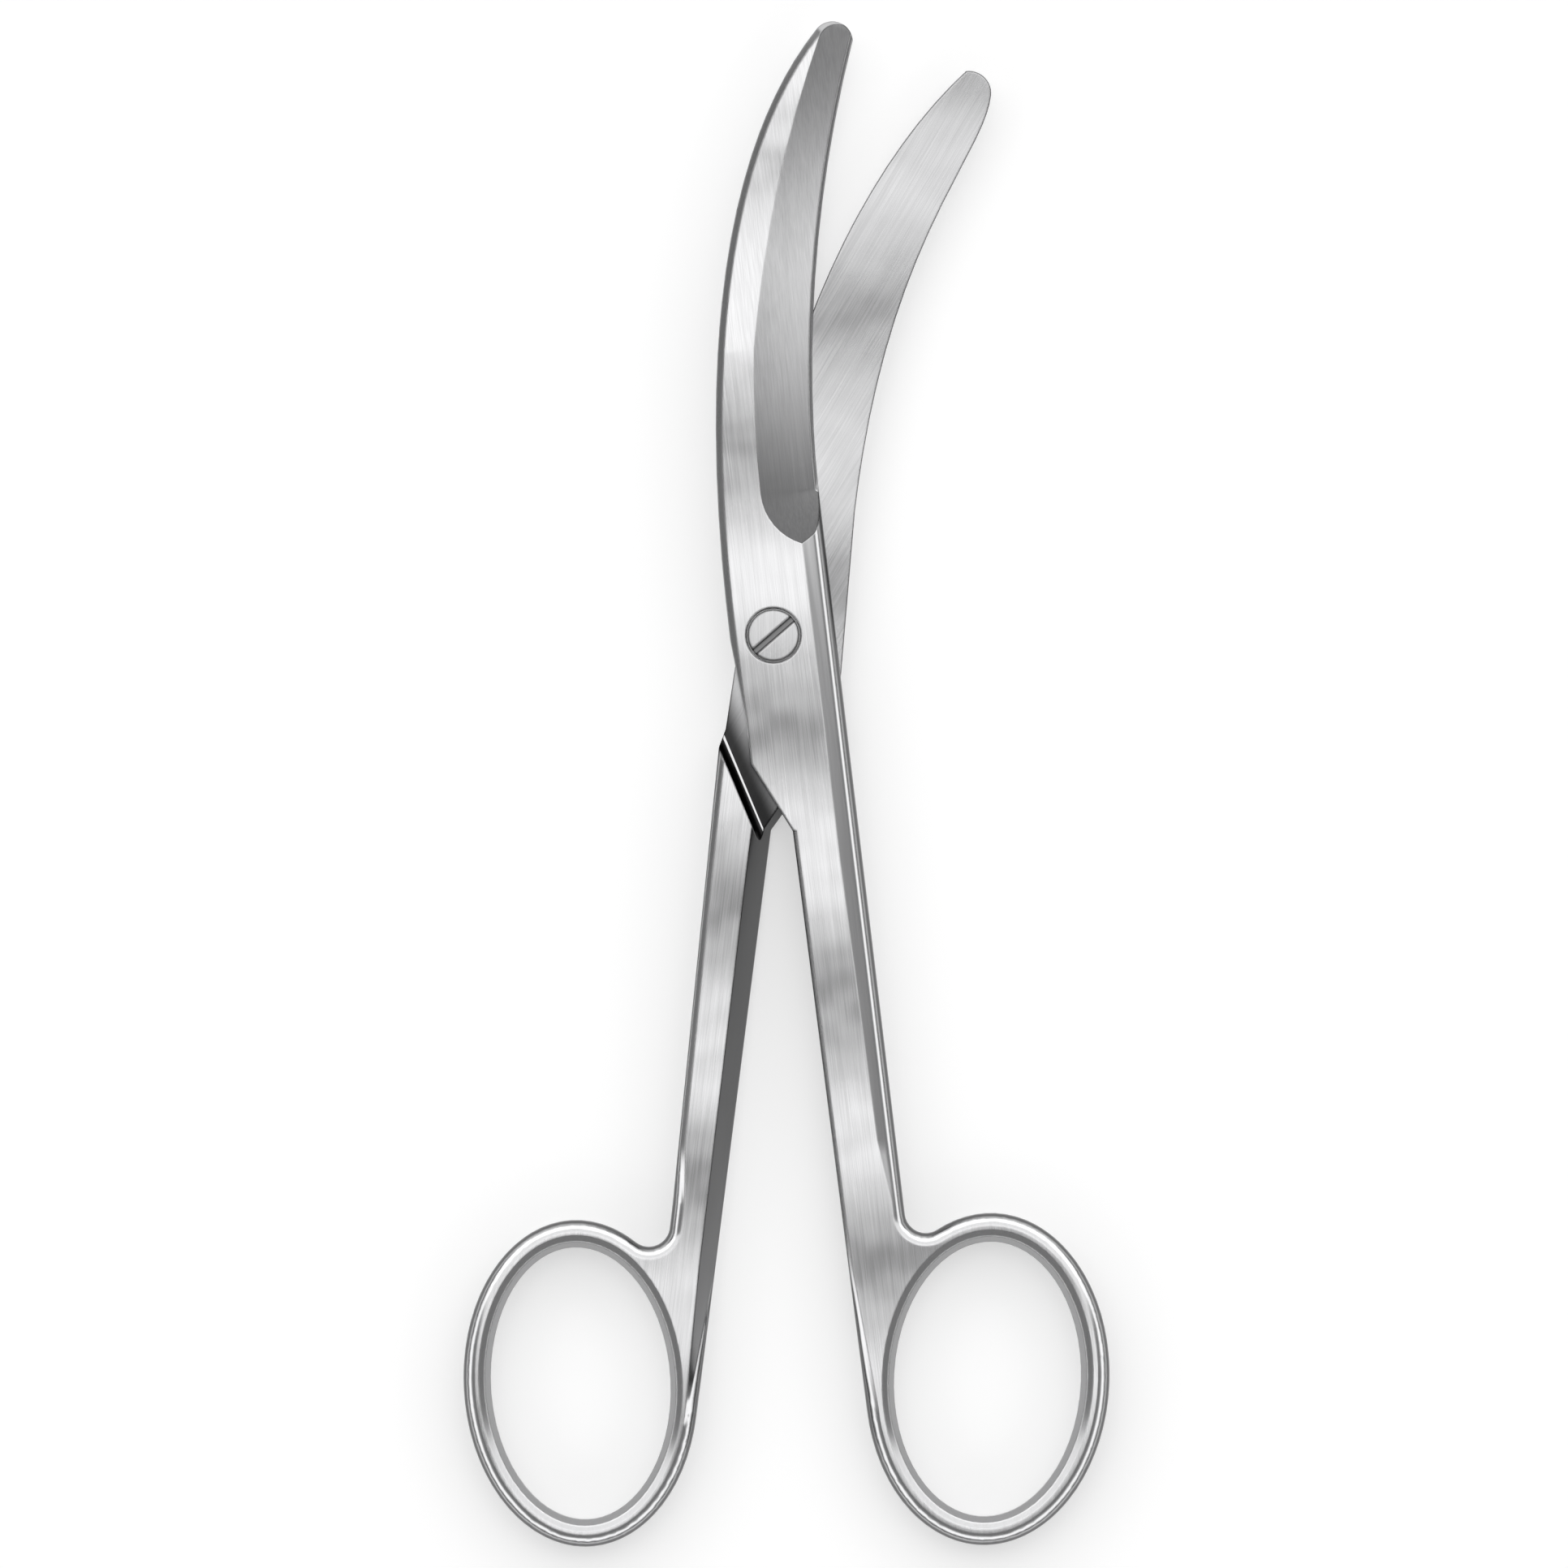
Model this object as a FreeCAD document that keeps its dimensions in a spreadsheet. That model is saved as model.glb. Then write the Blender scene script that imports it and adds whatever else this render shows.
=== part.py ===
import FreeCAD, Part
import math
import os
import Sketcher

# Umbilical cord scissors, curved on the flat, with finger rings and a slotted screw joint.
# The frame: the pivot axis is Z, the resting plane is z = 0, the blade tips point along +Y,
# and the half that carries the screw head lies on top, towards +Z. All sizes are millimetres and degrees.

# Each half is drawn in a frame of its own with its outer face towards +Z, the plane where the
# two halves meet at z = 0, the pivot at the origin, its spine on the left and its cutting edge,
# shank and ring on the right. The rear half is then turned over to lie under the front one.
SIZES = {
    "opening_angle": 13.5,
    "joint_height": 4.6,
    "mating_gap": 0.04,
    "ring_height": 4.2,
    "tip_height": 1.3,
    "blade_taper_start": 30.0,
    "taper_top": -24.0,
    "taper_end": -60.3,
    "shoulder_drop": 11.4,
    "shoulder_radius": 1.1,
    "relief_width": 1.24,
    "relief_tilt": 45.0,
    "corner_radius": 2.2,
    "bevel_width": 2.4,
    "bevel_width_low": 2.0,
    "bevel_tilt": 20.0,
    "bevel_round": 1.7,
    "bevel_fade": 6.5,
    "bead_width": 1.25,
    "bead_round": 1.5,
    "inner_strip": 0.4,
    "inner_strip_tilt": 40.0,
    "inner_strip_round": 0.3,
    "outer_strip": 0.68,
    "outer_strip_tilt": 40.0,
    "outer_strip_round": 0.5,
    "nest_width": 2.04,
    "nest_width_low": 1.7,
    "nest_tilt": 61.5,
    "nest_tilt_low": 55.0,
    "nest_round": 0.5,
    "bore_bevel_width": 1.3,
    "bore_bevel_drop": 0.55,
    "bore_edge_bevel": 0.65,
    "spine_bevel": 0.68,
    "spine_bevel_low": 0.15,
    "spine_bevel_tilt": 42.0,
    "hollow_width": 6.1,
    "hollow_sag": 0.14,
    "edge_bevel": 0.4,
    "edge_bevel_height": 0.38,
    "edge_land": 0.08,
    "screw_head_diameter": 5.4,
    "screw_head_height": 1.2,
    "head_clearance": 0.2,
    "screw_shoulder_diameter": 3.6,
    "screw_clearance": 0.04,
    "screw_thread_diameter": 3.0,
    "screw_edge_break": 0.12,
    "slot_width": 0.67,
    "slot_depth": 0.6,
    "slot_angle": 41.0,
    "front_spine_x": -4.56,
    "front_spine_y": 0.0,
    "front_spine_reach": 8.76,
    "front_spine_end_x": 11.95,
    "front_spine_end_y": 62.6,
    "front_spine_end_reach": 23.58,
    "front_spine_end_angle": 45.5,
    "front_edge_x": 6.5,
    "front_edge_y": 14.8,
    "front_edge_reach": 5.0,
    "front_edge_end_x": 15.6,
    "front_edge_end_y": 61.0,
    "front_edge_end_reach": 23.5,
    "front_edge_end_angle": 21.1,
    "front_waist_x": -3.9,
    "front_waist_y": -8.5,
    "front_heel_x": -3.95,
    "front_heel_y": -13.1,
    "front_crotch_x": -0.4,
    "front_crotch_y": -20.6,
    "front_outer_low_x": 6.55,
    "front_neck_x": 6.5,
    "front_neck_y": -10.3,
    "front_shoulder_x": 6.5,
    "front_shoulder_y": -12.3,
    "front_ring_x": 13.12,
    "front_ring_y": -80.05,
    "front_ring_tilt": -9.4,
    "front_ring_long": 14.42,
    "front_ring_wide": 9.8,
    "front_ring_wall": 3.0,
    "rear_spine_x": -6.95,
    "rear_spine_y": 14.0,
    "rear_spine_reach": 28.6,
    "rear_spine_end_x": -16.0,
    "rear_spine_end_y": 58.9,
    "rear_spine_end_reach": 6.6,
    "rear_spine_end_angle": 0.0,
    "rear_edge_x": 3.0,
    "rear_edge_y": 14.8,
    "rear_edge_reach": 6.0,
    "rear_edge_end_x": -13.1,
    "rear_edge_end_y": 61.15,
    "rear_edge_end_reach": 20.0,
    "rear_edge_end_angle": -40.5,
    "rear_waist_x": -7.55,
    "rear_waist_y": -4.0,
    "rear_heel_x": -6.8,
    "rear_heel_y": -12.0,
    "rear_crotch_x": -2.15,
    "rear_crotch_y": -20.3,
    "rear_outer_low_x": 3.5,
    "rear_neck_x": 3.82,
    "rear_neck_y": -10.3,
    "rear_shoulder_x": 4.3,
    "rear_shoulder_y": -12.3,
    "rear_ring_x": 10.85,
    "rear_ring_y": -80.24,
    "rear_ring_tilt": -10.0,
    "rear_ring_long": 14.28,
    "rear_ring_wide": 9.42,
    "rear_ring_wall": 2.86,
}


class Size:
    """A size that knows its value now and the expression that gives it from the sheet."""

    def __init__(self, value, text):
        self.value = value
        self.text = text

    def combine(self, other, value, sign):
        return Size(value, f"({self.text} {sign} {other.text})")

    def __add__(self, other):
        other = as_size(other)
        return self.combine(other, self.value + other.value, "+")

    def __sub__(self, other):
        other = as_size(other)
        return self.combine(other, self.value - other.value, "-")

    def __mul__(self, other):
        other = as_size(other)
        return self.combine(other, self.value * other.value, "*")

    def __truediv__(self, other):
        other = as_size(other)
        return self.combine(other, self.value / other.value, "/")

    def __neg__(self):
        return Size(-self.value, f"(-1 * {self.text})")


def as_size(number):
    if isinstance(number, Size):
        return number
    return Size(float(number), f"{number:g}")


def sine(angle):
    return Size(math.sin(math.radians(angle.value)), f"sin({angle.text} * 1 deg)")


def cosine(angle):
    return Size(math.cos(math.radians(angle.value)), f"cos({angle.text} * 1 deg)")


def tangent(angle):
    return Size(math.tan(math.radians(angle.value)), f"tan({angle.text} * 1 deg)")


def root(number):
    return Size(math.sqrt(number.value), f"sqrt({number.text})")


doc = FreeCAD.newDocument("umbilical_cord_scissors")
sheet = doc.addObject("Spreadsheet::Sheet", "Sizes")
for row, (name, number) in enumerate(SIZES.items(), start=1):
    sheet.set(f"A{row}", name)
    sheet.set(f"B{row}", str(number))
    sheet.setAlias(f"B{row}", name)
doc.recompute()


def cell(name):
    return Size(SIZES[name], f"Sizes.{name}")


ZERO = as_size(0)
# How far a cutter reaches past the material.
MARGIN = as_size(2)
# Half the thickness at the joint and at the rings, and half the play between the halves.
half_height = cell("joint_height") / 2
half_ring = cell("ring_height") / 2
half_gap = cell("mating_gap") / 2


def shape_of(*names):
    return tuple(cell(name) for name in names)


# The ground bevels: width across the face, tilt of the facet, radius where it rolls into the wall.
OUTER_BEVEL = shape_of("bevel_width", "bevel_tilt", "bevel_round")
OUTER_BEVEL_LOW = shape_of("bevel_width_low", "bevel_tilt", "bevel_round")
RING_BEAD = shape_of("bead_width", "bevel_tilt", "bead_round")
INNER_STRIP = shape_of("inner_strip", "inner_strip_tilt", "inner_strip_round")
OUTER_STRIP = shape_of("outer_strip", "outer_strip_tilt", "outer_strip_round")
NEST = shape_of("nest_width", "nest_tilt", "nest_round")
NEST_LOW = shape_of("nest_width_low", "nest_tilt_low", "nest_round")
RELIEF = cell("relief_width") + half_height, cell("relief_tilt"), cell("nest_round")
RELIEF_END = half_height, cell("relief_tilt"), cell("nest_round")


class Drawing:
    """A sketch on one of its body's own planes, with every point tied to the sheet.

    Lines that share a point object are joined there.
    """

    def __init__(self, body, name, plane, shift=None, turn=None):
        self.sketch = body.newObject("Sketcher::SketchObject", name)
        support = next(o for o in body.Origin.OriginFeatures if o.Role == plane)
        self.sketch.AttachmentSupport = [(support, "")]
        self.sketch.MapMode = "FlatFace"
        if shift:
            offset = FreeCAD.Placement()
            offset.Base = FreeCAD.Vector(*(s.value for s in shift))
            if turn:
                offset.Rotation = FreeCAD.Rotation(FreeCAD.Vector(0, 0, 1), turn.value)
            self.sketch.AttachmentOffset = offset
            for axis, size in zip("xyz", shift):
                self.sketch.setExpression(f"AttachmentOffset.Base.{axis}", size.text)
            if turn:
                self.sketch.setExpression("AttachmentOffset.Rotation.Angle", turn.text)
        self.met = {}
        self.count = 0

    def tie(self, kind, size, *places):
        """One dimension, bound to the sheet."""
        self.count += 1
        name = f"{kind}_{self.count}"
        index = self.sketch.addConstraint(Sketcher.Constraint(kind, *places, size.value))
        self.sketch.renameConstraint(index, name)
        self.sketch.setExpression(f"Constraints.{name}", size.text)

    def join(self, geometry, end, point):
        """Ties an end to its point, or to what already meets there."""
        if id(point) in self.met:
            first, first_end, _ = self.met[id(point)]
            meeting = Sketcher.Constraint("Coincident", geometry, end, first, first_end)
            self.sketch.addConstraint(meeting)
            return
        self.met[id(point)] = (geometry, end, point)
        self.tie("DistanceX", point[0], -1, 1, geometry, end)
        self.tie("DistanceY", point[1], -1, 1, geometry, end)

    def lines(self, *points):
        for start, end in zip(points, points[1:]):
            index = self.sketch.addGeometry(Part.LineSegment(spot(start), spot(end)))
            self.join(index, 1, start)
            self.join(index, 2, end)

    def arc(self, start, end, centre, radius):
        """An arc that turns left from start to end; the centre only says on which side."""
        middle = spot(centre)
        angles = [math.atan2(p.y - middle.y, p.x - middle.x) for p in (spot(start), spot(end))]
        circle = Part.Circle(middle, FreeCAD.Vector(0, 0, 1), radius.value)
        index = self.sketch.addGeometry(Part.ArcOfCircle(circle, *angles))
        self.join(index, 1, start)
        self.join(index, 2, end)
        self.tie("Radius", radius, index)

    def curve(self, start, start_pull, end_pull, end):
        """A curve with two ends and the two points that its ends pull towards."""
        poles = [spot(p) for p in (start, start_pull, end_pull, end)]
        shape = Part.BSplineCurve(poles, None, None, False, 3, None, False)
        index = self.sketch.addGeometry(shape)
        self.sketch.exposeInternalGeometry(index)
        self.join(index, 1, start)
        self.join(index, 2, end)
        self.join(index + 2, 3, start_pull)
        self.join(index + 3, 3, end_pull)

    def ellipse(self, across, along):
        """An upright ellipse about the sketch's own origin."""
        ring = Part.Ellipse(
            FreeCAD.Vector(0, along.value, 0),
            FreeCAD.Vector(across.value, 0, 0),
            FreeCAD.Vector(0, 0, 0),
        )
        index = self.sketch.addGeometry(ring)
        self.sketch.exposeInternalGeometry(index)
        self.sketch.addConstraint(Sketcher.Constraint("Coincident", index, 3, -1, 1))
        self.sketch.addConstraint(Sketcher.Constraint("Vertical", index + 1))
        self.tie("Distance", along * 2, index + 1)
        self.tie("Distance", across * 2, index + 2)


def spot(point):
    return FreeCAD.Vector(point[0].value, point[1].value, 0)


def bound(thing, **sizes):
    for name, size in sizes.items():
        setattr(thing, name, size.value)
        thing.setExpression(name, size.text)


def near(value, target, slack=0.01):
    return abs(value - target) < slack


def edges_where(thing, wanted):
    """The names of a feature's edges for which wanted is true."""
    names = [f"Edge{i}" for i, e in enumerate(thing.Shape.Edges, start=1) if wanted(e)]
    if not names:
        raise ValueError(f"{thing.Label} has no such edge")
    return names


def at_level(edge, level):
    return near(edge.BoundBox.ZMin, level, 1e-4) and near(edge.BoundBox.ZMax, level, 1e-4)


def is_line(edge):
    return edge.Curve.TypeId == "Part::GeomLine"


def side_x(first, last, y):
    """Where the straight line from first to last crosses the height y."""
    return first[0] + (last[0] - first[0]) * (y - first[1]) / (last[1] - first[1])


class Half:
    """One half of the scissors: its body, the named places of its plan, and its features."""

    def __init__(self, name):
        self.name = name
        self.body = doc.addObject("PartDesign::Body", f"{name}_half")
        self.body.Label = f"{name}_half"
        self.last = None

    def size(self, name):
        return cell(f"{self.name}_{name}")

    def place(self, name):
        return self.size(f"{name}_x"), self.size(f"{name}_y")

    def is_at(self, vertex, name):
        x, y = self.place(name)
        return near(vertex.X, x.value) and near(vertex.Y, y.value)

    def drawing(self, name, plane, shift=None, turn=None):
        return Drawing(self.body, f"{self.name}_{name}", plane, shift, turn)

    def feature(self, kind, name, profile):
        made = self.body.newObject(f"PartDesign::{kind}", f"{self.name}_{name}")
        made.Profile = profile.sketch
        self.last = made
        return made

    def dress(self, kind, name, edges, **sizes):
        """A fillet or chamfer on edges of the last feature."""
        made = self.body.newObject(f"PartDesign::{kind}", f"{self.name}_{name}")
        made.Base = (self.last, edges)
        if "Size2" in sizes:
            made.ChamferType = "Two distances"
        bound(made, **sizes)
        doc.recompute()
        self.last = made

    def ring_flank(self):
        """Where the inner side of the shank runs into the outside of its ring."""
        tilt = self.size("ring_tilt")
        wide = self.size("ring_wide") + self.size("ring_wall")
        long = self.size("ring_long") + self.size("ring_wall")
        across = wide * cosine(tilt)
        along = long * sine(tilt)
        reach = root(across * across + along * along)
        drop = (long * long - wide * wide) * sine(tilt) * cosine(tilt) / reach
        return self.size("ring_x") - reach, self.size("ring_y") + drop

    def outer_low(self):
        return self.size("outer_low_x"), cell("taper_end")

    def outer_x(self, y):
        return side_x(self.place("shoulder"), self.outer_low(), y)

    def inner_x(self, y):
        return side_x(self.place("crotch"), self.ring_flank(), y)

    def ring_ellipse(self, name, growth):
        drawing = self.drawing(name, "XY_Plane", (*self.place("ring"), ZERO), self.size("ring_tilt"))
        drawing.ellipse(self.size("ring_wide") + growth, self.size("ring_long") + growth)
        return drawing

    def pulls(self, name):
        """The two points that draw a blade curve straight up at its start and aslant at its end."""
        start, end = self.place(name), self.place(f"{name}_end")
        reach, angle = self.size(f"{name}_end_reach"), self.size(f"{name}_end_angle")
        lower = start[0], start[1] + self.size(f"{name}_reach")
        return lower, (end[0] - reach * sine(angle), end[1] - reach * cosine(angle))

    def blank(self):
        """The plan of blade, joint and shank at full thickness, and the disc of the ring."""
        plan = self.drawing("plan", "XY_Plane")
        spine, spine_end = self.place("spine"), self.place("spine_end")
        edge, edge_end = self.place("edge"), self.place("edge_end")

        # The tip is an arc that leaves the spine without a corner.
        angle = self.size("spine_end_angle")
        across = edge_end[0] - spine_end[0], edge_end[1] - spine_end[1]
        swing = across[0] * cosine(angle) - across[1] * sine(angle)
        radius = (across[0] * across[0] + across[1] * across[1]) / (swing * 2)
        centre = spine_end[0] + radius * cosine(angle), spine_end[1] - radius * sine(angle)

        plan.curve(spine, *self.pulls("spine"), spine_end)
        plan.arc(edge_end, spine_end, centre, radius)
        plan.curve(edge, *self.pulls("edge"), edge_end)
        outer_low = self.outer_low()
        inside = outer_low[0], self.size("ring_y")
        plan.lines(
            edge,
            self.place("neck"),
            self.place("shoulder"),
            outer_low,
            inside,
            self.ring_flank(),
            self.place("crotch"),
            self.place("heel"),
            self.place("waist"),
            spine,
        )
        for name, profile in (
            ("blank", plan),
            ("ring_disc", self.ring_ellipse("ring_plan", self.size("ring_wall"))),
        ):
            pad = self.feature("Pad", name, profile)
            pad.SideType = "Symmetric"
            bound(pad, Length=cell("joint_height"))
        doc.recompute()

    def ring_corner(self):
        """Rounds the corner between the outer side of the shank and the ring."""
        x = self.size("outer_low_x").value
        top = cell("taper_end").value
        bottom = self.size("ring_y").value

        def wanted(edge):
            first, last = edge.Vertexes[0], edge.Vertexes[-1]
            upright = near(first.X, last.X) and near(first.Y, last.Y) and edge.Length > 1
            return upright and near(first.X, x) and bottom < first.Y < top - 1

        self.dress("Fillet", "ring_corner", edges_where(self.last, wanted), Radius=cell("corner_radius"))

    def thinning(self):
        """Thins the blade towards its tip on the outer face, and the shank towards its ring on both."""
        side = self.drawing("side", "YZ_Plane")
        top = half_height + MARGIN
        start = cell("blade_taper_start")
        far = self.size("spine_end_y") + MARGIN * 4
        fall = (half_height - cell("tip_height")) / (self.size("spine_end_y") - start)
        first = start, half_height
        side.lines(first, (far, half_height - fall * (far - start)), (far, top), (start, top), first)
        below = self.size("ring_y") * 2
        for sign in (as_size(1), as_size(-1)):
            first = cell("taper_top"), half_height * sign
            side.lines(
                first,
                (cell("taper_end"), half_ring * sign),
                (below, half_ring * sign),
                (below, top * sign),
                (first[0], top * sign),
                first,
            )
        cut = self.feature("Pocket", "thinning", side)
        cut.Type = "ThroughAll"
        cut.SideType = "Symmetric"
        doc.recompute()
        self.thinned = cut

    def spine_section(self, name, place, width):
        """The cross-section of the flat bevel on the outer edge of the spine."""
        slope = tangent(cell("spine_bevel_tilt"))
        ridge = self.size(f"{place}_x") + width, half_height
        low = self.size(f"{place}_x") - MARGIN, half_height - (width + MARGIN) * slope
        above = half_height + MARGIN
        drawing = self.drawing(name, "XZ_Plane", (ZERO, ZERO, -self.size(f"{place}_y")))
        drawing.lines(ridge, low, (low[0], above), (ridge[0], above), ridge)
        return drawing

    def spine_bevel(self):
        """Grinds the outer edge of the spine flat, around the tip, and fades it towards the crotch."""
        start = self.size("spine_y").value
        across = cell("blade_taper_start").value

        def wanted(edge):
            ends = edge.Vertexes

            def meets(name):
                return any(self.is_at(v, name) for v in ends)

            return (
                edge.BoundBox.ZMin > half_gap.value
                and edge.BoundBox.YMin > start - 0.01
                and not meets("edge")
                and (meets("spine_end") or not meets("edge_end"))
                and not all(near(v.Y, across) for v in ends)
            )

        wide, low = cell("spine_bevel"), cell("spine_bevel_low")
        section = self.spine_section("spine_bevel_section", "spine", wide)
        along = self.feature("SubtractivePipe", "spine_bevel", section)
        along.Spine = (self.thinned, edges_where(self.thinned, wanted))
        doc.recompute()
        first, *others = (
            self.spine_section(f"spine_bevel_{place}", place, width)
            for place, width in (("spine", wide), ("waist", low), ("heel", low), ("crotch", low))
        )
        fade = self.feature("SubtractiveLoft", "spine_bevel_fade", first)
        fade.Sections = [section.sketch for section in others]
        fade.Ruled = True
        doc.recompute()

    def bevel_section(self, name, place, side, face, shape, outward=MARGIN):
        """The cross-section ground off along an edge: a flat facet that rolls into the wall.

        side is 1 where the wall looks towards +X; face is 1 on the outer face, -1 on the mating side.
        """
        edge_x, station, face_z = place
        width, tilt, radius = shape
        turn = side * face
        side, face = as_size(side), as_size(face)
        knee = radius - radius * sine(tilt)
        drop = (width - knee) * tangent(tilt)
        facet = edge_x - side * width, face_z
        bend = edge_x - side * knee, face_z - face * drop
        foot = edge_x, bend[1] - face * radius * cosine(tilt)
        out = edge_x + side * outward, foot[1]
        above = out[0], face_z + face * MARGIN
        drawing = self.drawing(name, "XZ_Plane", (ZERO, ZERO, -station))
        ends = (foot, bend) if turn > 0 else (bend, foot)
        drawing.arc(*ends, (edge_x - side * radius, foot[1]), radius)
        drawing.lines(foot, out, above, (facet[0], above[1]), facet, bend)
        return drawing

    def bevel(self, name, side, face, *stations):
        """Grinds a bevel along a nearly straight edge; every station has its own section."""
        drawings = [
            self.bevel_section(f"{name}_{number}", place, side, face, shape)
            for number, (place, shape) in enumerate(stations, start=1)
        ]
        cut = self.feature("SubtractiveLoft", name, drawings[0])
        cut.Sections = [drawing.sketch for drawing in drawings[1:]]
        cut.Ruled = True
        doc.recompute()

    def ring_bead(self, name, face):
        """Rounds the outside of the ring on one face, from the shank's inner to its outer side."""
        level = half_ring.value * face
        top = cell("taper_end").value
        flank = self.ring_flank()

        def wanted(edge):
            inner = is_line(edge) and edge.BoundBox.XMin < flank[0].value + 1
            return at_level(edge, level) and edge.BoundBox.YMax < top + 0.01 and not inner

        place = (*flank, half_ring * face)
        section = self.bevel_section(f"{name}_section", place, -1, face, RING_BEAD, cell("corner_radius") / 3)
        cut = self.feature("SubtractivePipe", name, section)
        cut.Spine = (self.thinned, edges_where(self.thinned, wanted))
        doc.recompute()

    def grind_shank(self):
        """The bevels of the shank, which all end in the bead around the ring."""
        crotch, heel, shoulder = self.place("crotch"), self.place("heel"), self.place("shoulder")
        edge, flank, outer_low = self.place("edge"), self.ring_flank(), self.outer_low()
        top, end = cell("taper_top"), cell("taper_end")
        narrow = end + cell("bevel_fade")
        inner_narrow = end - cell("bevel_fade")
        narrow_height = half_height + (half_ring - half_height) * (narrow - top) / (end - top)
        self.bevel(
            "outer_bevel", 1, 1,
            ((*edge, half_height), OUTER_BEVEL),
            ((*self.place("neck"), half_height), OUTER_BEVEL),
            ((*shoulder, half_height), OUTER_BEVEL),
            ((self.outer_x(top), top, half_height), OUTER_BEVEL),
            ((self.outer_x(narrow), narrow, narrow_height), OUTER_BEVEL_LOW),
            ((*outer_low, half_ring), RING_BEAD),
        )
        self.bevel(
            "inner_strip", -1, 1,
            ((*crotch, half_height), INNER_STRIP),
            ((self.inner_x(top), top, half_height), INNER_STRIP),
            ((self.inner_x(end), end, half_ring), INNER_STRIP),
            ((self.inner_x(inner_narrow), inner_narrow, half_ring), INNER_STRIP),
            ((*flank, half_ring), RING_BEAD),
        )
        self.bevel(
            "outer_strip", 1, -1,
            ((shoulder[0], shoulder[1] + MARGIN, -half_height), OUTER_STRIP),
            ((self.outer_x(top), top, -half_height), OUTER_STRIP),
            ((self.outer_x(narrow), narrow, -narrow_height), OUTER_STRIP),
            ((*outer_low, -half_ring), RING_BEAD),
        )
        # The deep bevel in which the shank of the other half lies when the scissors are closed.
        self.bevel(
            "nest", -1, -1,
            ((heel[0], heel[1] + cell("relief_width"), -half_height), RELIEF_END),
            ((*heel, -half_height), RELIEF),
            ((*crotch, -half_height), NEST),
            ((self.inner_x(top), top, -half_height), NEST),
            ((self.inner_x(inner_narrow), inner_narrow, -half_ring), NEST_LOW),
            ((*flank, -half_ring), RING_BEAD),
        )

    def half_lap(self):
        """Takes away the half of the thickness where the other half lies, down to a coved shoulder."""
        right, crotch = self.place("shoulder"), self.place("crotch")
        slope = cell("shoulder_drop") / (right[0] - crotch[0])
        outside = right[0] + MARGIN, right[1] + slope * MARGIN
        inside = crotch[0] - MARGIN, right[1] - slope * (right[0] - crotch[0] + MARGIN)
        far = self.size("spine_end_y") + MARGIN * 3
        span = self.size("spine_end_y") / 2
        plan = self.drawing("lap_plan", "XY_Plane", (ZERO, ZERO, half_gap))
        plan.lines(outside, inside, (-span, inside[1]), (-span, far), (span, far), (span, outside[1]), outside)
        lap = self.feature("Pocket", "lap", plan)
        bound(lap, Length=cell("joint_height"))
        doc.recompute()

        def wanted(edge):
            box = edge.BoundBox
            if not (at_level(edge, half_gap.value) and is_line(edge) and box.XLength > 1):
                return False
            return near(box.YLength / box.XLength, slope.value)

        self.dress("Fillet", "cove", edges_where(lap, wanted), Radius=cell("shoulder_radius"))

    def hollow_section(self, name, place, outward):
        """What the grinding wheel takes off the outer face beside the cutting edge."""
        land = ZERO, half_gap + cell("edge_land")
        rim = -cell("edge_bevel"), land[1] + cell("edge_bevel_height")
        far = -cell("hollow_width"), half_height
        above = far[0], half_height + MARGIN
        run, rise, sag = rim[0] - far[0], far[1] - rim[1], cell("hollow_sag")
        slant = root(run * run + rise * rise)
        wheel = slant * slant / (sag * 8) + sag / 2
        reach = (wheel - sag) / slant
        centre = (far[0] + rim[0]) / 2 + reach * rise, (far[1] + rim[1]) / 2 + reach * run
        drawing = self.drawing(name, "XZ_Plane", (place[0], ZERO, -place[1]))
        drawing.arc(far, rim, centre, wheel)
        drawing.lines(rim, land)
        corner = outward, above[1]
        if outward is ZERO:
            drawing.lines(land, corner, above, far)
        else:
            drawing.lines(land, (outward, land[1]), corner, above, far)
        return drawing

    def hollow_grind(self):
        """The hollow along the cutting edge, out past the tip, with a round end towards the joint."""
        edge, end, angle = self.place("edge"), self.place("edge_end"), self.size("edge_end_angle")
        past = MARGIN * 3
        path = self.drawing("edge_path", "XY_Plane")
        path.curve(edge, *self.pulls("edge"), end)
        path.lines(end, (end[0] + past * sine(angle), end[1] + past * cosine(angle)))
        section = self.hollow_section("hollow_section", edge, MARGIN)
        along = self.feature("SubtractivePipe", "hollow", section)
        along.Spine = (path.sketch, ["Edge1", "Edge2"])
        section = self.hollow_section("hollow_start_section", edge, ZERO)
        round_end = self.feature("Groove", "hollow_start", section)
        round_end.ReferenceAxis = (section.sketch, ["V_Axis"])
        round_end.Angle = 360
        doc.recompute()

    def ring_bore(self):
        """The finger hole, bevelled on both faces."""
        hole = self.feature("Pocket", "finger_hole", self.ring_ellipse("finger_hole_plan", ZERO))
        hole.Type = "ThroughAll"
        hole.SideType = "Symmetric"
        doc.recompute()

        def mouths(level):
            """The edges that run round the hole at that height above or below the middle."""
            turn = math.pi * self.size("ring_wide").value
            return edges_where(
                self.last,
                lambda e: e.Closed and e.Length > turn and near(abs(e.BoundBox.ZMin), level) and near(e.BoundBox.ZLength, 0),
            )

        width, drop = cell("bore_bevel_width"), cell("bore_bevel_drop")
        self.dress("Chamfer", "finger_bevel", mouths(half_ring.value), Size=width, Size2=drop)
        throat = mouths(half_ring.value - drop.value)
        self.dress("Chamfer", "finger_edge_bevel", throat, Size=cell("bore_edge_bevel"))

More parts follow.
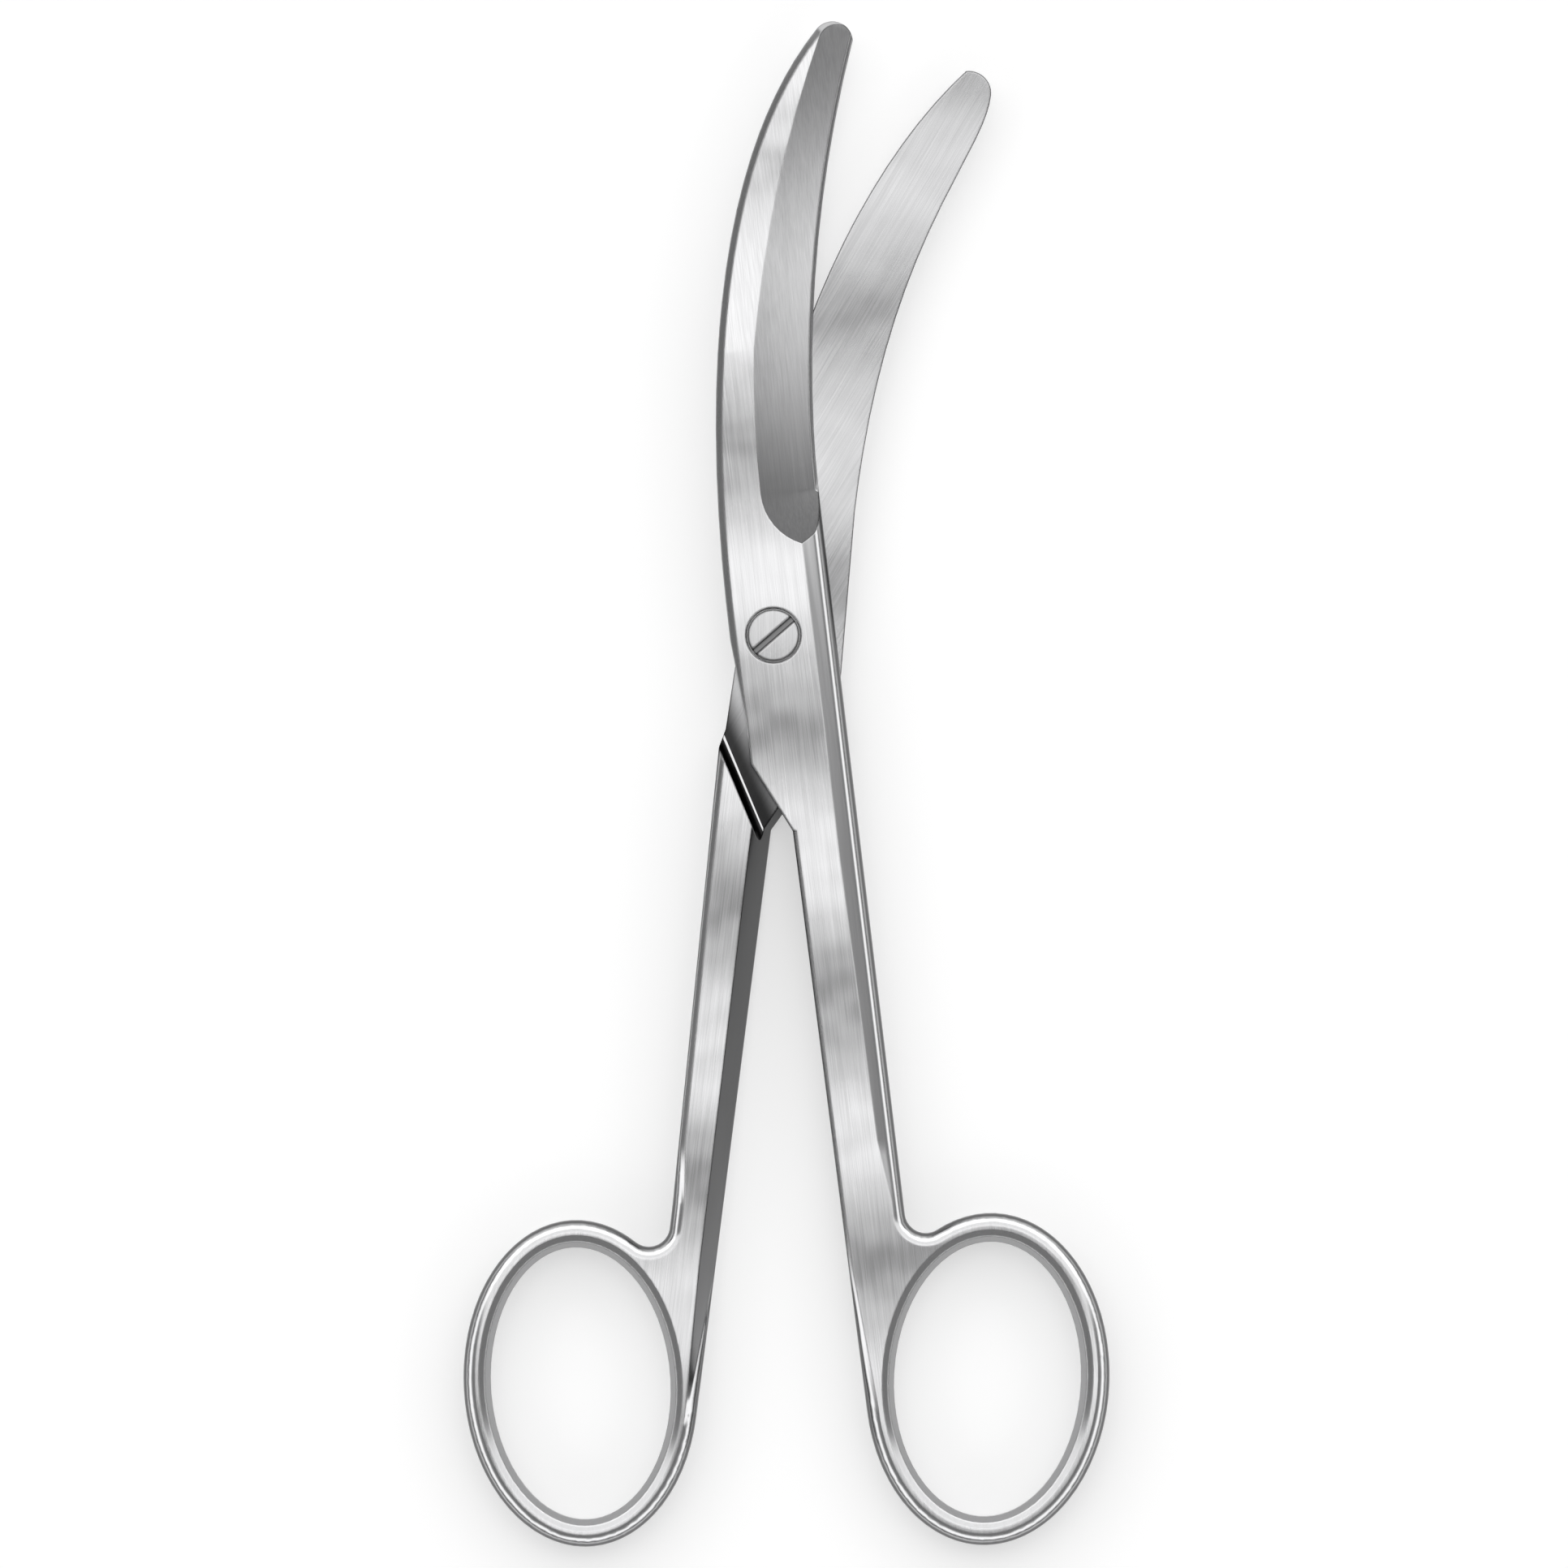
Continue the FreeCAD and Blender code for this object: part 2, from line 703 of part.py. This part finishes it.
    def bore(self, *steps):
        """A round bore about the pivot axis; each step is a radius and the height where it ends."""
        section = self.drawing("bore_section", "XZ_Plane")
        first = ZERO, -half_height - MARGIN
        points = [first]
        low = first[1]
        for radius, high in steps:
            points += [(radius, low), (radius, high)]
            low = high
        section.lines(*points, (ZERO, low), first)
        cut = self.feature("Groove", "bore", section)
        cut.ReferenceAxis = (section.sketch, ["V_Axis"])
        cut.Angle = 360
        doc.recompute()

    def build(self):
        self.blank()
        self.ring_corner()
        self.thinning()
        self.spine_bevel()
        self.ring_bead("ring_bead", 1)
        self.ring_bead("ring_bead_back", -1)
        self.grind_shank()
        self.half_lap()
        self.hollow_grind()
        self.ring_bore()


above = half_height + MARGIN
head_seat = half_height - cell("screw_head_height")
head_radius = cell("screw_head_diameter") / 2
shoulder_radius = cell("screw_shoulder_diameter") / 2
thread_radius = cell("screw_thread_diameter") / 2

# The front half turns on the shoulder of the screw and hides its head in a counterbore.
front = Half("front")
front.build()
front.bore(
    (shoulder_radius + cell("screw_clearance"), head_seat),
    (head_radius + cell("head_clearance"), above),
)

# The rear half holds the thread.
rear = Half("rear")
rear.build()
rear.bore((thread_radius, above))

# The screw, in the frame of the front half: head flush with one face, end flush with the other.
screw = doc.addObject("PartDesign::Body", "pivot_screw")
screw.Label = "pivot_screw"
profile = Drawing(screw, "screw_profile", "XZ_Plane")
break_edge = cell("screw_edge_break")
axis_low = ZERO, -half_height
axis_high = ZERO, half_height
profile.lines(
    axis_low,
    (thread_radius, axis_low[1]),
    (thread_radius, -half_gap),
    (shoulder_radius, -half_gap),
    (shoulder_radius, head_seat),
    (head_radius, head_seat),
    (head_radius, half_height - break_edge),
    (head_radius - break_edge, half_height),
    axis_high,
    axis_low,
)
turned = screw.newObject("PartDesign::Revolution", "screw_turned")
turned.Profile = profile.sketch
turned.ReferenceAxis = (profile.sketch, ["V_Axis"])
turned.Angle = 360
slot_plan = Drawing(screw, "slot_plan", "XY_Plane", (ZERO, ZERO, half_height), cell("slot_angle"))
reach, side = head_radius + MARGIN, cell("slot_width") / 2
corner = -reach, -side
slot_plan.lines(corner, (reach, -side), (reach, side), (-reach, side), corner)
slot = screw.newObject("PartDesign::Pocket", "screw_slot")
slot.Profile = slot_plan.sketch
bound(slot, Length=cell("slot_depth"))
doc.recompute()

# Everything goes to its place, half open.
lift = f"vector(0; 0; {half_height.text})"
swing = (cell("opening_angle") / 2).text
front.body.setExpression("Placement", f"placement({lift}; rotation({swing}; 0; 0))")
rear.body.setExpression("Placement", f"placement({lift}; rotation(-1 * {swing}; 180; 0))")
screw.setExpression("Placement", f"placement({lift}; rotation(0; 0; 0))")
doc.recompute()

for thing in doc.Objects:
    if "Invalid" in thing.State or "Error" in thing.State:
        raise RuntimeError(f"{thing.Name} did not recompute: {thing.State}")

os.makedirs("parts", exist_ok=True)
for body in (front.body, rear.body, screw):
    shape = body.Shape
    if shape.isNull() or not shape.isValid() or len(shape.Solids) != 1:
        raise RuntimeError(f"{body.Label} is not one sound solid")
    shape.exportStep(f"parts/{body.Label}.step")
    print(body.Label, round(shape.Volume, 1), "mm3")
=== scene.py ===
# %% [markdown]
# Umbilical cord scissors are two polished steel halves that turn on one slotted screw. Here they
# lie flat and half open, under a camera that looks straight down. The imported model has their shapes
# at the right size, so it is loaded first and stays where it is. Blender adds the finish: which
# faces are brushed, ground or polished, how crisp their edges are, and the light they reflect.

# %% Load the frame
import math

import bmesh
import bpy
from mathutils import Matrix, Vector


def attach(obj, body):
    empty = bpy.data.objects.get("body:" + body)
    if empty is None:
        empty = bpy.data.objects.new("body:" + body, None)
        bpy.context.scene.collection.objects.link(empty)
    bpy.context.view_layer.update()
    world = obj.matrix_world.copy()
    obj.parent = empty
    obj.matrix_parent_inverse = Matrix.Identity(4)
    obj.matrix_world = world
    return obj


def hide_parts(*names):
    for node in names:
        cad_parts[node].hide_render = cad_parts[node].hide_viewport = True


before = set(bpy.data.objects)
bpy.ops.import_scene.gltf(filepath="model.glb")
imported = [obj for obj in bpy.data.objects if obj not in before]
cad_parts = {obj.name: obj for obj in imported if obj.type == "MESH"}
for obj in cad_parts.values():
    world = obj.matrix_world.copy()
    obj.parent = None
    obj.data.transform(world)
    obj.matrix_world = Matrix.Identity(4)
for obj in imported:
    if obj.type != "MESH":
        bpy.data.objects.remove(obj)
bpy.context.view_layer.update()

mm = 0.001

# %% [markdown]
# Every finish is a small tree of shader nodes. Written node by node it is hard to read, so one
# small class wraps a socket: sums and products of values are then plain Python, and any other
# node comes from one method that takes its settings and its inputs.


# %% Shader sockets as Python values
class Socket:
    """An output of a shader node, with the arithmetic that the finishes use."""

    def __init__(self, tree, output):
        self.tree = tree
        self.output = output

    def node(self, kind, settings=None, out=0, **inputs):
        """A node of that kind: settings are set first, then inputs, by name or by input_N."""
        made = self.tree.nodes.new(kind)
        for name, value in (settings or {}).items():
            setattr(made, name, value)
        for name, value in inputs.items():
            key = name.replace("_", " ")
            place = made.inputs[int(key[6:])] if key.startswith("input ") else made.inputs[key]
            if isinstance(value, Socket):
                self.tree.links.new(value.output, place)
            else:
                place.default_value = value
        return Socket(self.tree, made.outputs[out])

    def maths(self, operation, *others):
        """A Math node on this value and the others."""
        inputs = {f"input_{number}": value for number, value in enumerate((self, *others))}
        return self.node("ShaderNodeMath", {"operation": operation}, **inputs)

    def __add__(self, other):
        return self.maths("ADD", other)

    def __sub__(self, other):
        return self.maths("SUBTRACT", other)

    def __mul__(self, other):
        return self.maths("MULTIPLY", other)

    def __rsub__(self, other):
        return self * -1 + other

    __radd__ = __add__
    __rmul__ = __mul__

    def between(self, low, high):
        """0 where the value is low or less, 1 where it is high or more, smooth in between."""
        settings = {"interpolation_type": "SMOOTHSTEP"}
        return self.node("ShaderNodeMapRange", settings, Value=self, From_Min=low, From_Max=high)

    def part(self, axis):
        """The X, Y or Z of a vector."""
        return self.node("ShaderNodeSeparateXYZ", Vector=self, out=axis)

    def mapped(self, **inputs):
        """Coordinates that are turned or stretched."""
        return self.node("ShaderNodeMapping", Vector=self, **inputs)

    def noise(self, size, detail):
        """Noise about 0.5, with spots of that size."""
        return self.node("ShaderNodeTexNoise", Vector=self, Scale=1 / size, Detail=detail)

    def grey(self):
        """The grey colour of that brightness."""
        return self.node("ShaderNodeCombineColor", Red=self, Green=self, Blue=self)


# %% A new material
def new_material(name):
    """A material, its shader, and a socket that stands for Object coordinates."""
    material = bpy.data.materials.new(name)
    material.use_nodes = True
    tree = material.node_tree
    shader = tree.nodes["Principled BSDF"]
    coordinates = tree.nodes.new("ShaderNodeTexCoord")
    return material, shader, Socket(tree, coordinates.outputs["Object"])


def feed(shader, name, value):
    """Links a socket to the shader's input."""
    value.tree.links.new(value.output, shader.inputs[name])


# %% [markdown]
# Brushed steel is a mirror with thousands of fine scratches that all run one way. A picture of
# scratches would blur close up. Noise on stretched coordinates stays sharp: it is fine across the
# strokes and long along them. It varies the colour and the roughness a little and, through a bump,
# the slope of the surface, which draws reflections out across the strokes.


# %% Brushing strokes
stroke_depth = 0.008 * mm


def turned(place, degrees):
    """Coordinates whose Y runs along a length that is turned by so many degrees from +Y."""
    return place.mapped(Rotation=(0, 0, -math.radians(degrees)))


def strokes_of(place, degrees):
    """Fine and coarse strokes that run at that turn."""
    stretched = turned(place, degrees).mapped(Scale=(1, 0.015, 1))
    return stretched.noise(0.11 * mm, 3.0) * 0.7 + stretched.noise(0.4 * mm, 1.0) * 0.3


# %% [markdown]
# No real edge is quite sharp. A bevel could be cut into the mesh, but the imported mesh has many
# very short edges, on which bevels break. So a Bevel node rounds the shading alone. How far it
# bends the normal also tells where the edges are. The photograph has dark lines along the
# right-angled rims and bright ones along the shallow ridges, so each kind gets a mask: painted
# shade darkens the colour of the rims, and a painted highlight lightens the colour of the ridges.


# %% Rims and ridges
edge_radius = 0.3 * mm


def edges_of(place):
    """The rounded normal, and masks for painted shade on right-angled rims and painted highlight on
    ridges.
    """
    surface = place.node("ShaderNodeNewGeometry", out="Normal")
    rounded = place.node("ShaderNodeBevel", {"samples": 6}, Radius=edge_radius)
    settings = {"operation": "DOT_PRODUCT"}
    bend = 1 - surface.node(
        "ShaderNodeVectorMath", settings, out="Value", input_0=surface, input_1=rounded
    )
    # Painted shade on the right-angled rims, and a painted highlight on the shallow ridges.
    rim = bend.between(0.015, 0.06)
    ridge_highlight = bend.between(0.006, 0.015) * (1 - bend.between(0.02, 0.04))
    return rounded, rim, ridge_highlight


# %% [markdown]
# The photograph has long soft bands of light and grey on the flat faces. The solids are truly flat
# there and would reflect one even tone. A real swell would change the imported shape, so it stands
# in the bump: a slow, slightly uneven wave along the half, on a shallow dish.


# %% The slow swell of a face
swell_length = 29 * mm
swell_unevenness = 8 * mm
dish_middle = -15.6 * mm
dish_reach = 79.8 * mm


def swell_of(level, cloud, wave, crest):
    """The height of the swell, counted in waves. It leans to the light, and is brightest, at crest.

    The dish under it stands a millimetre higher at its reach than at its middle.
    """
    along = level.part("Y")
    phase = (along - crest + (cloud - 0.5) * swell_unevenness) * (2 * math.pi / swell_length)
    from_middle = (along - dish_middle) * (1 / dish_reach)
    return 1 - phase.maths("SINE") + from_middle * from_middle * (mm / wave)


# %% [markdown]
# One function makes every steel of the scissors, because they differ only in how the strokes run,
# how deep they are, and how rough and how bright the surface is. In the photograph the upright
# walls and the rims are nearly black. The soft light here doesn't give that by reflection alone,
# so it is painted into the colour as painted shade, and stays under any other light.


# %% Steel
def steel(name, turn, roughness, colour=0.72, side=0.16, strokes=0.3, streaks=0.18, grinding=0.0,
          wave=0.0, crest=0.0, flatten=0.0, shaded=None):
    """Steel of a half whose length is turned by so many degrees from +Y.

    side is how bright upright walls are beside level faces, which is painted shade, strokes is the
    strength of the bump, streaks is how much the strokes vary the colour, and grinding is their turn
    from the half's length. wave is the height of the slow swell, and crest is where it is brightest.
    flatten is the share by which slopes are shaded as level, and shaded makes a socket of painted
    light and shade that darkens the colour.
    """
    material, shader, place = new_material(name)
    shader.inputs["Metallic"].default_value = 1.0
    level = turned(place, turn)
    brushing = strokes_of(place, turn + grinding)
    cloud = level.noise(14 * mm, 2.0)
    rounded, rim, ridge_highlight = edges_of(place)

    normal = place.node("ShaderNodeTexCoord", out="Normal")
    upward = normal.part("Z")
    level_face = upward.maths("ABSOLUTE").between(0.5, 0.85)
    tone = (brushing - 0.5) * (streaks * 4) + (cloud - 0.5) * 0.12 + 1
    # Upright walls get painted shade: their colour is darker than that of level faces.
    shade = tone * (level_face * (1 - side) + side) * colour
    # shaded paints light and shade into the colour by place.
    if shaded:
        shade = shade * shaded(place)
    # Painted shade darkens the right-angled rims, and a painted highlight lightens the shallow ridges.
    shade = shade * (1 - rim * 0.88) * (ridge_highlight * 0.3 + 1)
    cool_grey = place.node("ShaderNodeCombineColor", Red=shade, Green=shade, Blue=shade * 1.01)
    feed(shader, "Base Color", cool_grey)
    feed(shader, "Roughness", (tone - 1) * 0.2 + ridge_highlight * 0.25 + roughness)

    if flatten:
        up = normal.node("ShaderNodeCombineXYZ", Z=upward.maths("SIGN"))
        settings = {"data_type": "VECTOR"}
        rounded = place.node(
            "ShaderNodeMix", settings, out=1, input_0=flatten, input_4=rounded, input_5=up
        )
    relief = place.node(
        "ShaderNodeBump", Strength=strokes, Distance=stroke_depth, Height=brushing, Normal=rounded
    )
    if wave:
        swell = swell_of(level, cloud, wave, crest)
        relief = place.node(
            "ShaderNodeBump", Strength=1.0, Distance=wave, Height=swell, Normal=relief
        )
    feed(shader, "Normal", relief)
    return material


# %% [markdown]
# Two more tones of the photograph don't come from the light here. The hollow of the blade is
# brightest halfway along, and the ground face of the rear half runs to dark at the foot of the
# shoulder that crosses it. Both are painted into the colour: a painted reflection by the place
# along the hollow, and painted shade by the distance from the line of the shoulder.


# %% Painted reflection of the hollow and painted shade at the shoulder's foot
step_foot = Vector((-5.28, -11.06)) * mm
step_line = Vector((0.412, -0.911))
step_across = Vector((0.911, 0.412))


def shoulder_painted_shade(place):
    """1 on the ground face of the rear half, falling to painted shade at the foot of its shoulder."""
    x, y = place.part("X") - step_foot.x, place.part("Y") - step_foot.y
    away = x * step_across.x + y * step_across.y
    return away.between(0.8 * mm, 4.5 * mm) * 0.94 + 0.06


def hollow_painted_reflection(place):
    """A painted reflection: 1 halfway along the hollow, darker towards both ends."""
    along = place.part("Y")
    rise = along.between(10 * mm, 40 * mm) * 0.8 + 0.2
    fall = 1 - along.between(38 * mm, 62 * mm) * 0.6
    return rise * fall


# %% [markdown]
# Each half has five finishes. Its flats are brushed along their length. Its bevels are smoother.
# Its blade is hollow-ground, the faces where the halves meet are ground at a slant, and the finger
# hole is polished. The halves lean to opposite sides, so each has its own set.


# %% The finishes of the two halves
half_turn = 6.75
grinding_turn = 24


def finishes_of(body, turn, crest, shaded=None):
    """The finishes of one half, whose length lies at that turn."""
    return {
        "flat": steel(f"{body}_brushed_flat", turn, 0.22, wave=0.2 * mm, crest=crest),
        "bevel": steel(f"{body}_polished_bevel", turn, 0.14, strokes=0.15, streaks=0.05),
        "hollow": steel(
            f"{body}_hollow_grind", turn, 0.24, colour=0.66, strokes=0.4, flatten=0.45,
            shaded=hollow_painted_reflection,
        ),
        "inner": steel(
            f"{body}_ground_face", turn, 0.24, colour=0.62, strokes=0.4,
            grinding=math.copysign(grinding_turn, turn), wave=0.14 * mm, crest=-9 * mm,
            shaded=shaded,
        ),
        "bore": steel(f"{body}_finger_hole", turn, 0.15, side=0.45, strokes=0.15, streaks=0.05),
    }


finishes = {
    "front": finishes_of("front", half_turn, 5.8 * mm),
    "rear": finishes_of("rear", -half_turn, -14 * mm, shoulder_painted_shade),
}
print("finishes", sorted(material.name for material in bpy.data.materials))

# %% [markdown]
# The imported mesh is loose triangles. A copy of it is merged and shaded softly, so it has to be told
# where the ridges are. Two faces belong to one ground surface where they bend by less than the
# crease angle. The bevels leave the flat faces at less than that, so where a level face ends in a
# convex edge, a smaller angle already makes a ridge.


# %% Which edges are soft
crease = math.radians(26)
ridge = math.radians(8)
level_normal = 0.9985


def is_flat(face):
    """Whether a face is level."""
    return abs(face.normal.z) > level_normal


def is_soft(edge):
    """Whether the two faces at an edge belong to one ground surface."""
    if len(edge.link_faces) != 2:
        return False
    first, second = edge.link_faces
    angle = edge.calc_face_angle(0)
    leaves_flat = is_flat(first) != is_flat(second) and edge.is_convex
    return angle < crease and not (leaves_flat and angle > ridge)


# %% A merged copy of a CAD node's mesh
merge_distance = 0.002 * mm


def steel_copy(node_name):
    """The copy, with its ridges marked, still open for edits."""
    bm = bmesh.new()
    bm.from_mesh(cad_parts[node_name].data)
    bmesh.ops.remove_doubles(bm, verts=bm.verts, dist=merge_distance)
    bmesh.ops.dissolve_degenerate(bm, dist=merge_distance, edges=bm.edges)
    bm.normal_update()
    for face in bm.faces:
        face.smooth = True
    for edge in bm.edges:
        edge.smooth = is_soft(edge)
    return bm


# %% The ground surfaces of a copy
def soft_groups(bm):
    """Groups of faces that are joined by soft edges."""
    seen, groups = set(), []
    for first in bm.faces:
        if first in seen:
            continue
        seen.add(first)
        group = [first]
        for face in group:
            for edge in face.edges:
                if edge.smooth:
                    fresh = [f for f in edge.link_faces if f not in seen]
                    seen.update(fresh)
                    group.extend(fresh)
        groups.append(group)
    return groups


# %% [markdown]
# The finish of a face could be painted on by hand. Here its place and its lean tell it, so the
# choice still holds when the model is packed again with slightly other triangles. Level faces are
# brushed, or ground where the halves meet, at half the joint's height. A face that looks at the
# middle of its ring is the finger hole. The hollow is the one large sloping surface of the blade,
# and the rest are bevels.


# %% Which finish a face gets
meeting_height = 2.3 * mm
above_meeting = 2.32 * mm
ring_middles = {"front": Vector((22.44, -77.95)) * mm, "rear": Vector((-20.21, -78.41)) * mm}
ring_reach = 17 * mm
hollow_area = 200 * mm * mm
hollow_start = 6 * mm


def is_step_foot(face, body):
    """Whether a face is the rounded foot of the rear half's shoulder, seen beside its line."""
    middle = face.calc_center_median()
    from_foot = middle.xy - step_foot
    across = from_foot - from_foot.dot(step_line) * step_line
    beside = across.length < 0.8 * mm and -22 * mm < middle.y < -9 * mm
    return body == "rear" and middle.z > above_meeting and beside and not is_flat(face)


def finish_of(face, area, body):
    """The finish of a face in a ground surface of that area."""
    middle = face.calc_center_median()
    # The shoulder's foot takes the ground face's finish, and with it the painted shade.
    if is_step_foot(face, body):
        return "inner"
    if is_flat(face):
        return "inner" if abs(middle.z - meeting_height) < 0.1 * mm else "flat"
    inward = ring_middles[body] - middle.xy
    if inward.length < ring_reach and inward.dot(face.normal.xy) > 0:
        return "bore"
    is_ground = area > hollow_area and abs(face.normal.z) > 0.88 and middle.y > hollow_start
    return "hollow" if is_ground else "bevel"


# %% A finished piece in place of its CAD node
def finished(bm, name, node_name, body, materials):
    """The piece of that mesh. It rides on its body and takes the place of the CAD node."""
    mesh = bpy.data.meshes.new(name)
    bm.to_mesh(mesh)
    bm.free()
    for material in materials:
        mesh.materials.append(material)
    piece = bpy.data.objects.new(name, mesh)
    bpy.context.scene.collection.objects.link(piece)
    weights = piece.modifiers.new("even_shading", "WEIGHTED_NORMAL")
    weights.keep_sharp = True
    weights.weight = 100
    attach(piece, body)
    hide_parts(node_name)
    return piece


# %% [markdown]
# A half is blade, joint, shank and finger ring in one forging, so it is one piece with five
# finishes, not one piece for each. Each ground surface is sorted face by face, because one that
# bends softly can hold a level part and a sloping one.


# %% Dress the two halves
def dress(body):
    """A merged copy of a half with its finishes, in place of the CAD node."""
    bm = steel_copy(f"{body}_half")
    names = list(finishes[body])
    tally = dict.fromkeys(names, 0)
    for surface in soft_groups(bm):
        area = sum(face.calc_area() for face in surface)
        for face in surface:
            finish = finish_of(face, area, body)
            face.material_index = names.index(finish)
            tally[finish] += 1
    print(body, "faces", len(bm.faces), tally)
    materials = [finishes[body][name] for name in names]
    return finished(bm, f"{body}_half_steel", f"{body}_half", body, materials)


for body in finishes:
    piece = dress(body)
    print(piece.name, "sharp edges", sum(edge.use_edge_sharp for edge in piece.data.edges))

# %% [markdown]
# The screw holds the halves together. Its head sits nearly flush in the front half and has one
# slot. The head gets the steel of the flats around it, and the slot a rougher one whose darker
# colour is painted shade, so that it reads as a cut however the light falls.

# %% Dress the screw
slot_floor = 3.9 * mm
head_top = 4.5 * mm
head_radius = 2.65 * mm
screw_finishes = [
    steel("screw_brushed", 0.0, 0.24, colour=0.66, side=0.08, wave=0.2 * mm, crest=5.8 * mm),
    # The slot's darker colour is painted shade.
    steel("screw_slot", 0.0, 0.4, colour=0.3, side=0.2, grinding=-49.0),
]
bm = steel_copy("pivot_screw")
for face in bm.faces:
    middle = face.calc_center_median()
    in_slot = slot_floor < middle.z < head_top and middle.xy.length < head_radius
    face.material_index = 1 if in_slot else 0
print("slot faces", sum(face.material_index for face in bm.faces), "of", len(bm.faces))
finished(bm, "pivot_screw_steel", "pivot_screw", "rear", screw_finishes)

# %% [markdown]
# The floor is plain and pale. In the photograph the ground is white, and steel reflects white from
# it. More light would burn out the steel, so the floor glows instead, and only for the camera and
# for rays that come off glossy or clear things. It keeps the shadow and lights nothing else.

# %% Floor
floor_mesh = bpy.data.meshes.new("floor")
bm = bmesh.new()
bmesh.ops.create_grid(bm, x_segments=1, y_segments=1, size=3.0)
bm.to_mesh(floor_mesh)
bm.free()
floor = bpy.data.objects.new("floor", floor_mesh)
bpy.context.scene.collection.objects.link(floor)

material, shader, place = new_material("pale_floor")
shader.inputs["Base Color"].default_value = (0.65, 0.65, 0.65, 1)
shader.inputs["Roughness"].default_value = 0.9
shader.inputs["Specular IOR Level"].default_value = 0.0
camera_ray, glossy_ray, clear_ray = (
    place.node("ShaderNodeLightPath", out=f"Is {ray} Ray") for ray in ("Camera", "Glossy", "Transmission")
)
feed(shader, "Emission Color", ((camera_ray + glossy_ray + clear_ray) * 0.46).grey())
shader.inputs["Emission Strength"].default_value = 1.0
floor_mesh.materials.append(material)
print("floor", [round(v, 2) for v in floor.dimensions])

# %% [markdown]
# Polished steel shows what stands round it, so the light is made for its reflections. The world is
# bright above and ahead, and that brightness ends just behind the zenith. A level face reflects
# the zenith to the camera, so the slow swell turns one stretch of it to the light and the next to
# the grey. A bright band stands low all round, for the bevels and the beads, and the ring between
# is dim, for the dark facets. One large lamp hangs high and ahead, and softens the shadow.

# %% Lamp
lamp_size = 0.7, 0.46
lamp_radiance = 0.3
lamp_data = bpy.data.lights.new("overhead", "AREA")
lamp_data.shape = "RECTANGLE"
lamp_data.size, lamp_data.size_y = lamp_size
lamp_data.energy = lamp_size[0] * lamp_size[1] * lamp_radiance * math.pi
lamp = bpy.data.objects.new("overhead", lamp_data)
lamp.location = (0.0, 0.24, 0.8)
lamp.visible_camera = False
bpy.context.scene.collection.objects.link(lamp)
print("lamp", round(lamp_data.energy, 3), "W")

# %% World
world = bpy.data.worlds.new("studio")
world.use_nodes = True
tree = world.node_tree
direction = Socket(tree, tree.nodes.new("ShaderNodeTexCoord").outputs["Generated"])
height, ahead = direction.part("Z"), direction.part("Y")
roof = (height + ahead * 1.2).between(0.84, 0.96) * (ahead.between(-0.16, 0.06) * 0.6 + 0.24)
band = height.between(0.2, 0.32) * (1 - height.between(0.5, 0.6)) * 1.15
background = tree.nodes["Background"]
feed(background, "Color", (roof + band + 0.2).grey())
background.inputs["Strength"].default_value = 1.0
bpy.context.scene.world = world
print("world", world.name, "nodes", len(tree.nodes))

# %% [markdown]
# The photograph looks straight down from far away, so the camera hangs high over the middle of
# its frame, with a long lens. The frame's width is what its edges take in at half the height of
# the joint.

# %% Camera
frame_width = 164.43 * mm
frame_middle = Vector((1.106, -15.574, 2.3)) * mm
distance = 1.6
camera_data = bpy.data.cameras.new("camera")
camera_data.sensor_width = 36
camera_data.lens = camera_data.sensor_width * distance / frame_width
camera_data.clip_end = 20
camera = bpy.data.objects.new("camera", camera_data)
camera.location = frame_middle + Vector((0, 0, distance))
bpy.context.scene.collection.objects.link(camera)
bpy.context.scene.camera = camera
bpy.context.scene.view_settings.view_transform = "Standard"
print("camera lens", round(camera_data.lens, 1), "mm")
